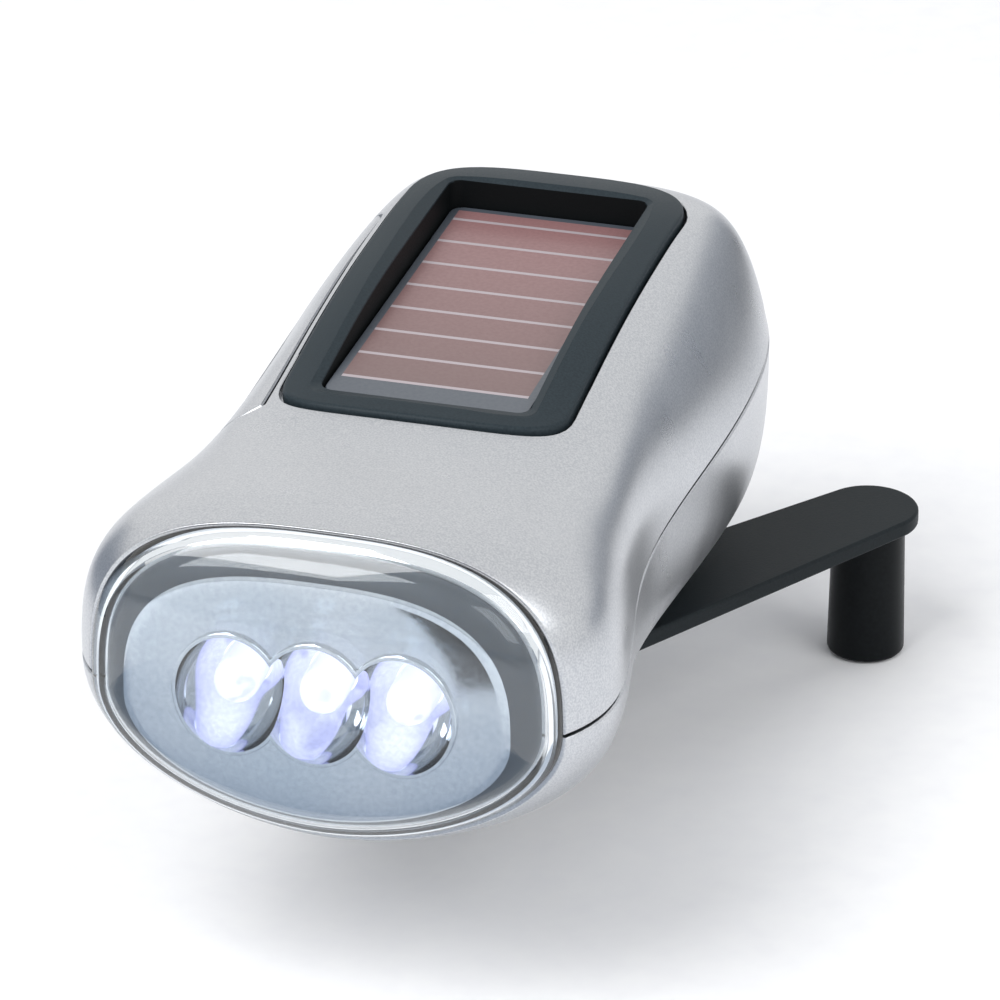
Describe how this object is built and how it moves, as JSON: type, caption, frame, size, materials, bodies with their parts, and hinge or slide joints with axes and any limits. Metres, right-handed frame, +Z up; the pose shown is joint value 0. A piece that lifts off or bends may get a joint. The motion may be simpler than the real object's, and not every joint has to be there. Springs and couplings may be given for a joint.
{
  "type": "hand crank flashlight",
  "caption": "Palm sized flashlight with a solar panel on top, LEDs behind a clear nose cover and a fold-out crank that drives a geared generator.",
  "frame": {"origin": "on the flat underside of the case, on its middle line, 30 mm behind the nose tip", "axes": "+X to the light's right hand side seen from behind, +Y from the nose to the rear along the case, +Z up out of the solar panel"},
  "size_m": [0.0733, 0.1151, 0.0597],
  "materials": {
    "case_silver": "satin silver paint on moulded plastic",
    "black_trim": "fine satin",
    "clear_cover": "clear, polished",
    "reflector_mirror": "metallised mirror on moulded plastic",
    "led_lens": "water clear",
    "solar_cell": "amorphous cell under clear resin with light strip lines",
    "board": "solder mask",
    "gear_white": "natural acetal",
    "steel": "bright zinc",
    "copper": "enamelled copper wire",
    "magnet": "sintered ferrite",
    "cell_can": "nickel plated can",
    "red_lead": "insulated wire",
    "black_lead": "insulated wire"
  },
  "bodies": {
    "case": {"upper_shell": "case_silver", "lower_shell": "case_silver", "lens_cover": "clear_cover", "reflector": "reflector_mirror", "led_1": "led_lens", "led_2": "led_lens", "led_3": "led_lens", "led_board": "board", "solar_frame": "black_trim", "solar_panel": "solar_cell", "switch_body": "black_trim", "main_board": "board", "board_screw_1": "steel", "board_screw_2": "steel", "capacitor": "cell_can", "control_chip": "black_trim", "led_lead_1": "red_lead", "led_lead_2": "black_lead", "solar_lead_1": "red_lead", "solar_lead_2": "black_lead", "cell_1": "cell_can", "cell_2": "cell_can", "cell_3": "cell_can", "cell_holder": "black_trim", "gear_axle_1": "steel", "gear_axle_2": "steel", "stator_core": "steel", "stator_coil": "copper", "gear_bracket": "black_trim", "bracket_screw_1": "steel", "bracket_screw_2": "steel", "bracket_screw_3": "steel", "case_screw_1": "steel", "case_screw_2": "steel", "case_screw_3": "steel", "case_screw_4": "steel"},
    "crank": {"crank_hub": "black_trim", "drive_gear": "gear_white", "hub_washer": "steel", "hub_screw": "steel", "hinge_pin": "steel"},
    "arm": {"crank_arm": "black_trim", "knob_rivet": "steel"},
    "knob": {"crank_knob": "black_trim"},
    "key": {"power_key": "case_silver", "switch_plunger": "black_trim"},
    "first_gear": {"gear_1": "gear_white"},
    "second_gear": {"gear_2": "gear_white"},
    "rotor": {"magnet_rotor": "magnet"}
  },
  "joints": [
    {"name": "crank_spin", "type": "hinge", "parent": "case", "child": "crank", "pos_m": [0, 0.022, 0], "axis": [0, 0, 1], "continuous": true},
    {"name": "arm_fold", "type": "hinge", "parent": "crank", "child": "arm", "pos_m": [0.00229, 0.02528, -0.002], "axis": [-0.8192, 0.5736, 0], "range_deg": [0, 180]},
    {"name": "knob_spin", "type": "hinge", "parent": "arm", "child": "knob", "pos_m": [0.03728, 0.07524, -0.0116], "axis": [0, 0, 1], "continuous": true},
    {"name": "key_press", "type": "hinge", "parent": "case", "child": "key", "pos_m": [-0.0179, 0.0365, 0.0348], "axis": [0, -1, 0], "range_deg": [0, 3], "stiffness_Nm_per_rad": 0.25},
    {"name": "first_gear_spin", "type": "hinge", "parent": "case", "child": "first_gear", "pos_m": [0.004, 0.04262, 0.009], "axis": [0, 0, 1], "continuous": true},
    {"name": "second_gear_spin", "type": "hinge", "parent": "case", "child": "second_gear", "pos_m": [-0.007, 0.05423, 0.012], "axis": [0, 0, 1], "continuous": true},
    {"name": "rotor_spin", "type": "hinge", "parent": "case", "child": "rotor", "pos_m": [0.006, 0.05943, 0.008], "axis": [0, 0, 1], "continuous": true}
  ],
  "couplings": [
    {"joint": "first_gear_spin", "follows": "crank_spin", "ratio": -3.2},
    {"joint": "second_gear_spin", "follows": "crank_spin", "ratio": 9.6},
    {"joint": "rotor_spin", "follows": "crank_spin", "ratio": -28.8}
  ]
}
